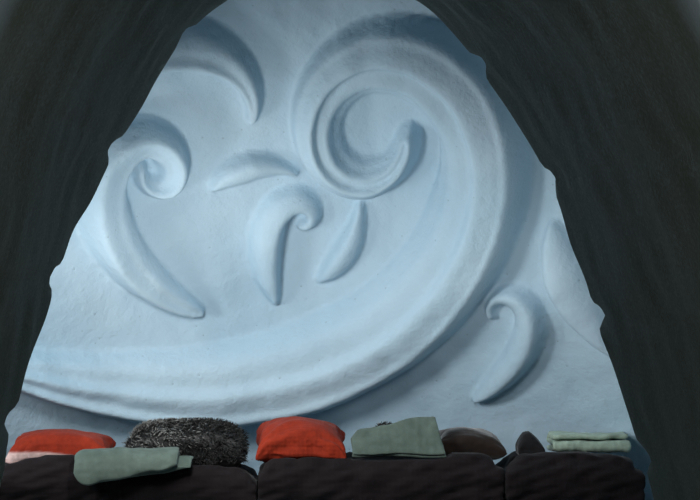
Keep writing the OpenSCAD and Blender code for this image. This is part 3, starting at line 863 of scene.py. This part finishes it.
class IGLOO_OT_pads(bpy.types.Operator):
    """Fill the dark pads on the bench"""
    bl_idname = "igloo.pads"
    bl_label = "Pads"

    def execute(self, context):
        for node in ("pad_left", "pad_middle", "pad_right"):
            low, high = cad_box(node)
            obj = copy_of("soft_" + node, node)
            centre = (low + high) / 2
            set_points(obj, centre + (points_of(obj) - centre) * (1 - [0.006, 0.024, 0.024] / (high - low)))
            apply_modifier(obj, "REMESH", mode="VOXEL", voxel_size=0.010)
            apply_modifier(obj, "SMOOTH", factor=0.5, iterations=6)
            inflate(obj, pressure=4.0, cap=0.014)
            self.crown(obj, low, high)
            keep_in(obj, node, above=(0, 0, PAD_CROWN))
            finish_piece(obj, "cotton twill", "pad_cover", [node])
        return {"FINISHED"}

    def crown(self, obj, low, high):
        """Each pad crowns behind its front edge, falls to its ends, and gives way under what lies on it."""
        x, y, z = points_of(obj).T
        share = np.clip((z - low[2]) / (high[2] - low[2]), 0, 1)
        middles = np.array([(a + b) / 2 for a, b in zip(PAD_ENDS, PAD_ENDS[1:])])
        halves = np.diff(PAD_ENDS) / 2
        which = np.argmin(np.abs(x[:, None] - middles) / halves, axis=1)
        fall = np.choose(which, [np.interp(x, *line) for line in PAD_FALLS])
        crown = PAD_CROWN * np.exp(-((y - PAD_FRONT - CROWN_BACK) / CROWN_HALF) ** 2)
        z = z + share * (crown - fall)
        set_points(obj, np.stack([x, y, z], axis=1))
        points = points_of(obj) * [1, 1, 2.4]
        swell(obj, 0.006 * wander(points, 0.24, 31) + 0.004 * wander(points, 0.085, 32) - 0.003)
        x, y, z = points_of(obj).T
        # Filling draws a pad in, so it is spread again until its ends press flat against its neighbours
        for k in np.unique(which):
            own = x[which == k]
            spread = (halves[k] + 0.014) / (np.ptp(own) / 2)
            own = middles[k] + (own - (own.max() + own.min()) / 2) * spread
            x[which == k] = np.clip(own, PAD_ENDS[k] + 0.0004, PAD_ENDS[k + 1] - 0.0004)
        for node in ON_PADS:
            lower, upper = cad_box(node)
            inside = np.min([x - lower[0], upper[0] - x, y - lower[1], upper[1] - y], axis=0)
            across = (x - (lower[0] + upper[0]) / 2) / ((upper[0] - lower[0]) / 2)
            bed = lower[2] - SINK - 0.002 - hang_of(node, across) + np.maximum(0.01 - inside, 0) * 0.8
            z = np.where(share > 0.6, np.minimum(z, bed), z)
        lower, upper = cad_box("blanket_left")
        covered = (x > lower[0]) & (x < upper[0]) & (y < upper[1] + 0.02) & (share > 0.3)
        y = np.where(covered & (share < 0.9), np.maximum(y, PAD_FRONT + 0.004), y)
        z = np.where(covered, np.minimum(z, PAD_TOP - 0.003), z)
        set_points(obj, np.stack([x, y, z], axis=1))


# Each cushion: how far it starts inside its solid and how it is drawn, the depth and seed of its corner
# folds, its finish, slot and fill
CUSHIONS = {
    "cushion_red_left": (0.010, {"seam": -0.3, "rise": 0.3, "fall": 0.15, "blunt": 1.9}, 0.0045, 41,
                         "brushed cotton", "red_cloth", 0.5),
    "cushion_red_middle": (0.006, {"seam": -0.3, "rise": 0.5, "fall": 0.2, "pull": 0.04, "pinch": 0.08,
                                   "blunt": 1.7}, 0.006, 42, "brushed cotton", "red_cloth", 0.75),
    "cushion_brown": (0.010, {"seam": -0.2, "rise": 0.1, "fall": 0.45}, 0.0045, 43,
                      "short plush", "brown_fur", 0.6),
}


class IGLOO_OT_cushions(bpy.types.Operator):
    """Fill the red cushions and the brown one"""
    bl_idname = "igloo.cushions"
    bl_label = "Cushions"

    def execute(self, context):
        for node, (inset, form, fold, seed, finish, slot, fill) in CUSHIONS.items():
            obj = pillow("soft_" + node, node, inset, **form)
            inflate(obj, pressure=4.0, cap=0.014)
            corner_folds(obj, node, fold, seed)
            u, v, w = shares_of(obj, node)
            if slot == "red_cloth":
                # The left one's left front gets a painted highlight in pale rose, below a falling seam
                below = np.clip(0.5 - (w + 0.05 + 0.62 * (u + 1)) * 6, 0, 1)
                set_value(obj, "lining", below * (v < 0.2) * (node == "cushion_red_left"))
            # The left end hangs over the falling end of its pad
            points = points_of(obj)
            points[:, 2] -= hang_of(node, u) * np.clip((1 - w) / 1.6, 0, 1)
            set_points(obj, points)
            keep_in(obj, node, below=(0, 0, SINK + 0.035), above=(0, 0, 0.008))
            finish_piece(obj, finish, slot, [node])
        return {"FINISHED"}


# Hairs are drawn thicker than real ones, so that fewer do
HAIR_THICK = 0.0016


def tufts(name, base, count, length, pale, seed):
    """Bent three-sided hairs that grow out of a surface. pale is the share of hairs at the left and on top
    whose tips carry a painted highlight.
    """
    rng = np.random.default_rng(seed)
    mesh = base.data
    mesh.calc_loop_triangles()
    corners = np.empty(len(mesh.loop_triangles) * 3, dtype=np.int32)
    mesh.loop_triangles.foreach_get("vertices", corners)
    a, b, c = (points_of(base)[corners.reshape(-1, 3)[:, k]] for k in range(3))
    normal = np.cross(b - a, c - a)
    area = np.linalg.norm(normal, axis=1)
    normal /= np.maximum(area, 1e-12)[:, None]
    weight = area * (normal[:, 2] > -0.35)
    chosen = rng.choice(len(area), count, p=weight / weight.sum())
    s, t = rng.random((2, count, 1))
    s, t = np.where(s + t > 1, 1 - s, s), np.where(s + t > 1, 1 - t, t)
    root = a[chosen] + (b - a)[chosen] * s + (c - a)[chosen] * t
    up = normal[chosen]
    lean = np.array([0.35, -0.75, -0.15]) + rng.normal(0, 0.22, (count, 3))
    # Neighbouring hairs lean together in tufts
    lean += 0.55 * np.stack([wander(root, 0.045, seed + k) for k in range(3)], axis=1)
    lean -= up * np.sum(lean * up, axis=1)[:, None]
    side = np.cross(up, lean)
    side /= np.maximum(np.linalg.norm(side, axis=1), 1e-9)[:, None]
    across = np.cross(side, up)
    size = length * rng.uniform(0.6, 1.15, (count, 1))
    thick = HAIR_THICK * rng.uniform(0.7, 1.5, (count, 1))
    rings, thirds = [], (0.0, 2.0944, 4.1888)
    for t0, width in ((0.0, 1.0), (0.45, 0.85), (0.8, 0.5)):
        middle = root + size * (up * (t0 - 0.35 * t0 * t0) + lean * 0.75 * t0 * t0)
        rings += [middle + thick * width * (side * math.cos(k) + across * math.sin(k)) for k in thirds]
    rings.append(root + size * (up * 0.65 + lean * 0.75))
    along = np.array([0] * 3 + [0.45] * 3 + [0.8] * 3 + [1.0])
    # Painted highlight: pale tips go to hairs at the left that face up
    highlight_side = np.clip(0.5 - 2.2 * (root[:, 0] - root[:, 0].mean()) / np.ptp(root[:, 0]), 0, 1)
    bright = np.where(rng.random(count) < pale * highlight_side * (up[:, 2] > 0.1) + 0.04, 1.0, 0.42)
    one = [(0, 2, 1)] + [(6 + k, 6 + (k + 1) % 3, 9) for k in range(3)]
    one += [(r + k, r + (k + 1) % 3, r + 3 + (k + 1) % 3, r + 3 + k) for r in (0, 3) for k in range(3)]
    hairs = bpy.data.meshes.new(name)
    hairs.from_pydata(np.stack(rings, axis=1).reshape(-1, 3).tolist(), [],
                      [tuple(10 * i + v for v in face) for i in range(count) for face in one])
    obj = bpy.data.objects.new(name, hairs)
    bpy.context.scene.collection.objects.link(obj)
    close_up(obj)
    set_value(obj, "along", (bright[:, None] * along[None]).ravel())
    return obj


class IGLOO_OT_fur(bpy.types.Operator):
    """Grow the fur cushion and the fur throw"""
    bl_idname = "igloo.fur"
    bl_label = "Fur"

    def execute(self, context):
        # The number of hairs, their length, and how far the skin lies inside the solid
        for node, count, length, shell in (("cushion_fur", 5600, 0.030, 0.018),
                                           ("fur_throw", 900, 0.020, 0.012)):
            base = pillow("soft_" + node, node, shell, seam=-0.3, pinch=0.35, grain=0.008)
            inflate(base, pressure=4.0, cap=0.012)
            set_value(base, "along", np.zeros(len(base.data.vertices)))
            # Pale tips at the upper left are a painted highlight
            hair = tufts("hair_" + node, base, count, length, pale=0.75, seed=7)
            keep_in(hair, node, below=(0.005, 0.005, 0), above=(0.008, 0.008, 0.008))
            finish_piece(base, "long fur", "dark_fur", [node])
            finish_piece(hair, "long fur", "dark_fur")
        return {"FINISHED"}


def stacked_line(length, layers, pitch):
    """The middle line of a cloth folded to and fro in flat layers: distances along, heights, layers."""
    line = []
    for k in range(layers):
        run = np.linspace(0, length, max(3, int(length / 0.012)))
        run = run if k % 2 == 0 else run[::-1]
        line += [(s, pitch * (k + 0.5), k) for s in run]
        if k < layers - 1:
            out = pitch / 2 * (1 if k % 2 == 0 else -1)
            line += [(run[-1] + out * math.cos(a), pitch * (k + 1 + math.sin(a) / 2), k + 0.5 + a / 2.1)
                     for a in (-1.05, -0.52, 0.0, 0.52, 1.05)]
    return np.array(line)


def folded_cloth(name, node, line, thick, count, place, seed):
    """Cloth of an even thickness that follows a folded line, drawn out along the bench.
    place turns shares along the bench and distances, heights and layers of the line into points."""
    obj, u, v = grid(name, count, len(line) - 1)
    at = np.clip(np.rint((v + 1) / 2 * (len(line) - 1)).astype(int), 0, len(line) - 1)
    p = place((u + 1) / 2, *line[at].T)
    for axis in range(3):
        p[:, axis] += 0.004 * wander(p, 0.16, seed + axis) + 0.0016 * wander(p, 0.05, seed + 3 + axis)
    set_points(obj, p)
    apply_modifier(obj, "SOLIDIFY", thickness=thick, offset=0)
    apply_modifier(obj, "SUBSURF", levels=1, render_levels=1)
    close_up(obj)
    keep_in(obj, node, below=(0.015, 0.006, 0.010), above=(0.010, 0.004, 0.008))
    return obj


def lay_cloth(node, finish, line, place, thick, count, seed):
    """Folds a blanket as long as its line and as wide as its solid, and gives it its finish."""
    obj = folded_cloth("folded_" + node, node, line, thick, count, place, seed)
    finish_piece(obj, finish, "grey_wool", [node])


class IGLOO_OT_blankets(bpy.types.Operator):
    """Fold the blankets"""
    bl_idname = "igloo.blankets"
    bl_label = "Blankets"

    def execute(self, context):
        self.hung("blanket_left")
        self.leaning("blanket_middle")
        self.flat("blanket_right")
        return {"FINISHED"}

    def hung(self, node):
        """Laid on the edge of a pad, so that its left end comes further over the pad's rounded front."""
        low, high = cad_box(node)
        corner = 0.052
        line = stacked_line(0.122, layers=4, pitch=0.0122)
        back = high[1] - 0.010
        run = back - (PAD_FRONT + corner)
        turn = corner * math.pi / 2

        def place(t, s, h, layer):
            # The left end is rounded like a roll's, and only the lowest layer reaches the right end
            end = np.sqrt(np.clip(1 - (1 - np.clip(t / 0.13, 0.06, 1)) ** 2, 0, 1))
            s = (0.062 + (s - 0.061) * end) * (1 - 0.42 * t)
            h = 0.022 + (h - 0.024) * end * (0.8 + 0.25 * np.sin(math.pi * np.clip(t * 1.4, 0, 1)))
            bend = np.clip((s - run) / corner, 0, math.pi / 2)
            y = np.where(s < run, back - s, PAD_FRONT + corner - (corner + h) * np.sin(bend))
            z = np.where(s < run, PAD_TOP + h, PAD_TOP - corner + (corner + h) * np.cos(bend))
            z = np.where(s > run + turn, PAD_TOP - corner - (s - run - turn), z)
            x = low[0] + 0.005 + (high[0] - low[0] - 0.01) * t * np.where(layer > 0.5, 0.88, 1.0)
            return np.stack([x, y, z + 0.001], axis=1)

        lay_cloth(node, "felted grey wool", line, place, thick=0.009, count=30, seed=61)

    def leaning(self, node):
        """Folded flat, leaning back, its left end lower and rounded."""
        low, high = cad_box(node)
        lean = math.radians(62)
        line = stacked_line(0.150, layers=4, pitch=0.0115)

        def place(t, s, h, layer):
            up = 0.012 + (s - 0.006) * (0.57 + 0.42 * t) * np.sqrt(
                np.clip(1 - (1 - np.clip(t / 0.08, 0.25, 1)) ** 2, 0, 1))
            y = low[1] + 0.052 + up * math.cos(lean) - h * math.sin(lean)
            z = PAD_TOP + up * math.sin(lean) + h * math.cos(lean) * 0.5
            x = low[0] + (high[0] - low[0]) * t - 0.035 * t * up / 0.15
            return np.stack([x, y, z], axis=1)

        lay_cloth(node, "felted grey wool", line, place, thick=0.009, count=28, seed=71)

    def flat(self, node):
        """Folded in a flat stack whose folds face the room."""
        low, high = cad_box(node)
        line = stacked_line(high[1] - low[1] - 0.024, layers=3, pitch=0.0235)

        def place(t, s, h, layer):
            x = low[0] + 0.008 + (high[0] - low[0] - 0.016) * t + 0.006 * np.sin(2.4 * layer) * (t - 0.5)
            return np.stack([x, high[1] - 0.010 - s, PAD_TOP + 0.001 + h], axis=1)

        # The paler wool is painted light for the dim right end
        lay_cloth(node, "felted pale wool", line, place, thick=0.0185, count=26, seed=81)


class IGLOO_OT_pouch(bpy.types.Operator):
    """Shape the small dark pouch"""
    bl_idname = "igloo.pouch"
    bl_label = "Pouch"

    def execute(self, context):
        node = "dark_pouch"
        obj = pillow("soft_" + node, node, 0.004, seam=-0.3, pinch=0.25, grain=0.0045)
        corner_folds(obj, node, amount=0.002, seed=51)
        # Its neck is tied: it rises to a point at the left and runs down to the right
        points = points_of(obj)
        along = shares_of(obj, node)[0]
        bottom = cad_box(node)[0][2]
        points[:, 2] = bottom + (points[:, 2] - bottom) * np.clip(1.1 - 0.5 * np.abs(along + 0.3), 0.3, 1)
        set_points(obj, points)
        keep_in(obj, node, below=(0, 0, SINK))
        finish_piece(obj, "dark canvas", "dark_cloth", [node])
        return {"FINISHED"}


# Stage: floor, light and camera

# Lamps in the room: places and aims from its middle, power in watts, and width
ROOM_LAMPS = {
    "room_key": ((-0.48, 0.55, 1.28), (0.45, 2.0, 0.88), 9.2, 0.25),
    "room_left": ((-1.38, 0.75, 1.10), (0.10, 2.0, 1.05), 6, 0.30),
    "room_right": ((0.45, 0.60, 1.20), (1.25, 1.7, 0.75), 2.8, 0.25),
}
SNOW_LIT = (0.98, 0.99, 0.98)
# Suns: places that they shine from towards the origin, strength, and angle
SUNS = {
    "sun_high": ((-3.0, -3.5, 8.5), 2.0, 0.4),
    "sun_left": ((-8, 1.5, 4.5), 1.2, 0.6),
    "sun_back": ((5, 7, 6), 1.4, 0.5),
}
# The camera, from the middle of the room, its lens in mm and its turn in degrees
CAMERA_PLACE, CAMERA_LENS, CAMERA_TURN = (-0.08, -6.1, 1.41), 102.5, -1.81


def lamp(name, kind, place, aim, energy, size, colour=(1, 1, 1)):
    data = bpy.data.lights.new(name, kind)
    data.energy = energy
    data.color = colour
    if kind == "AREA":
        data.shape = "DISK"
        data.size = size
    else:
        data.angle = size
    obj = bpy.data.objects.new(name, data)
    bpy.context.scene.collection.objects.link(obj)
    obj.location = place
    obj.rotation_euler = (Vector(aim) - Vector(place)).to_track_quat("-Z", "Y").to_euler()
    obj.visible_camera = False
    return obj


class IGLOO_OT_stage(bpy.types.Operator):
    """Set up the floor, the light and the camera"""
    bl_idname = "igloo.stage"
    bl_label = "Stage"

    def execute(self, context):
        scene = context.scene
        floor = primitive("floor", bpy.ops.mesh.primitive_plane_add, (0, 0, -0.002), size=400)
        # The floor is pale where it is seen, and gives back less light, so that the tunnel stays dark
        material, tree, shader, _ = new_material("studio floor")
        path = tree.nodes.new("ShaderNodeLightPath")
        seen = put(tree, MATH, {"operation": "MAXIMUM"}, _0=path.outputs["Is Camera Ray"],
                   _1=path.outputs["Is Glossy Ray"])
        shade = put(tree, MIX, COVER, 2, _0=seen, _6=tone("#5A5E60"), _7=tone("#D8DCDE"))
        put(tree, shader, Base_Color=shade, Roughness=0.9)
        floor.data.materials.append(material)

        world = bpy.data.worlds.new("studio")
        scene.world = world
        world.use_nodes = True
        tree = world.node_tree
        tree.nodes.clear()
        path = tree.nodes.new("ShaderNodeLightPath")
        seen = put(tree, "ShaderNodeBackground", Color=tone("#DDE1E4"), Strength=1.0)
        light = put(tree, "ShaderNodeBackground", Color=(0.97, 1.0, 0.95, 1.0), Strength=0.14)
        mix = put(tree, "ShaderNodeMixShader", _0=path.outputs["Is Camera Ray"], _1=light, _2=seen)
        put(tree, "ShaderNodeOutputWorld", Surface=mix)

        middle = Vector((0, DOME_Y, 0))
        for name, (place, strength, angle) in SUNS.items():
            lamp(name, "SUN", place, (0, 0, 0), strength, angle)
        for name, (place, aim, power, width) in ROOM_LAMPS.items():
            lamp(name, "AREA", middle + Vector(place), middle + Vector(aim), power, width, SNOW_LIT)

        camera = bpy.data.cameras.new("camera")
        camera.lens = CAMERA_LENS
        camera.sensor_width = 36.0
        holder = bpy.data.objects.new("camera", camera)
        scene.collection.objects.link(holder)
        holder.location = middle + Vector(CAMERA_PLACE)
        holder.rotation_euler = (math.radians(90), 0, math.radians(CAMERA_TURN))
        scene.camera = holder
        scene.view_settings.view_transform = "Standard"
        return {"FINISHED"}


OPERATORS = [
    IGLOO_OT_stage, IGLOO_OT_courses, IGLOO_OT_tunnel, IGLOO_OT_lining, IGLOO_OT_carved_wall, IGLOO_OT_bench,
    IGLOO_OT_pads, IGLOO_OT_cushions, IGLOO_OT_fur, IGLOO_OT_blankets, IGLOO_OT_pouch,
]


class IGLOO_PT_panel(bpy.types.Panel):
    """The sizes, the colours and the steps of the igloo, in order"""
    bl_idname = "IGLOO_PT_panel"
    bl_label = "Snow igloo"
    bl_space_type = "VIEW_3D"
    bl_region_type = "UI"
    bl_category = "Igloo"

    def draw(self, context):
        column = self.layout.column()
        for group in (context.scene.igloo_sizes, context.scene.igloo_colours):
            for name in group.__annotations__:
                column.prop(group, name)
        for operator in OPERATORS:
            column.operator(operator.bl_idname)


CLASSES = [IglooColours, IglooSizes, *OPERATORS, IGLOO_PT_panel]


def register():
    for cls in CLASSES:
        bpy.utils.register_class(cls)
    bpy.types.Scene.igloo_colours = bpy.props.PointerProperty(type=IglooColours)
    bpy.types.Scene.igloo_sizes = bpy.props.PointerProperty(type=IglooSizes)


def unregister():
    del bpy.types.Scene.igloo_sizes
    del bpy.types.Scene.igloo_colours
    for cls in reversed(CLASSES):
        bpy.utils.unregister_class(cls)


def main():
    register()
    for operator in OPERATORS:
        group, name = operator.bl_idname.split(".")
        getattr(getattr(bpy.ops, group), name)()


if __name__ == "__main__":
    main()
